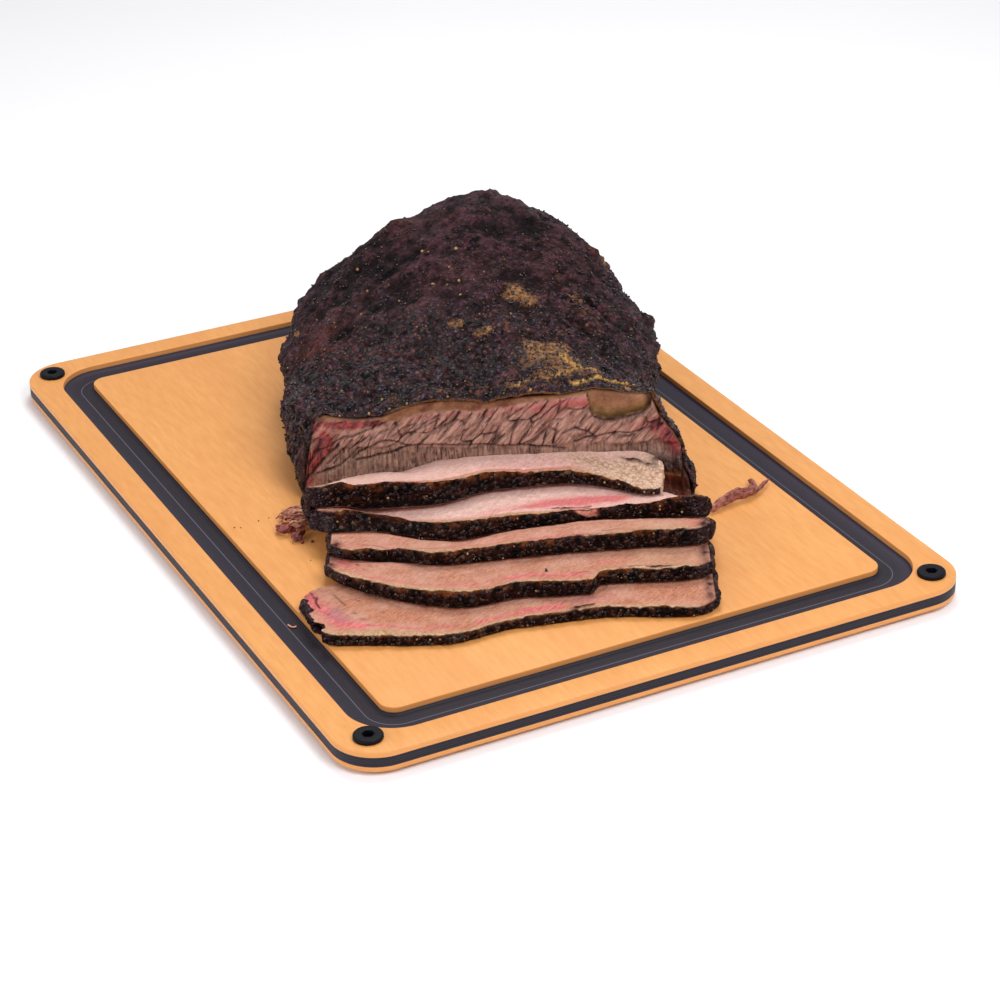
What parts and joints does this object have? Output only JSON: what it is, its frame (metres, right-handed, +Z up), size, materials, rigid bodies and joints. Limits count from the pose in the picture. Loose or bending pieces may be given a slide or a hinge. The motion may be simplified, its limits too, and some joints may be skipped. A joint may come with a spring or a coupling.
{
  "type": "sliced beef brisket on a carving board",
  "caption": "Smoked beef brisket with a dark peppered bark, the end cut into slices that lean on one another, on a two-tone carving board with a juice groove and rubber feet.",
  "frame": {"origin": "on the table, under the middle of the board", "axes": "+X along the board's short front edge to the right, +Y along its long side to the back, where the uncut end of the meat lies, +Z up"},
  "size_m": [0.33, 0.457, 0.0975],
  "materials": {
    "board_tan": "satin",
    "board_dark": "satin",
    "foot_rubber": "satin",
    "brisket_bark": "semi-gloss",
    "brisket_meat": "semi-gloss"
  },
  "bodies": {
    "root": {"board_base": "board_tan", "board_core": "board_dark", "board_rim": "board_tan", "board_panel": "board_tan", "foot_1": "foot_rubber", "foot_2": "foot_rubber", "foot_3": "foot_rubber", "foot_4": "foot_rubber", "brisket_block": "brisket_bark", "slice_1": "brisket_meat", "slice_2": "brisket_meat", "slice_3": "brisket_meat", "slice_4": "brisket_meat", "slice_5": "brisket_meat", "shred_right": "brisket_meat", "shred_left": "brisket_meat"}
  },
  "joints": []
}
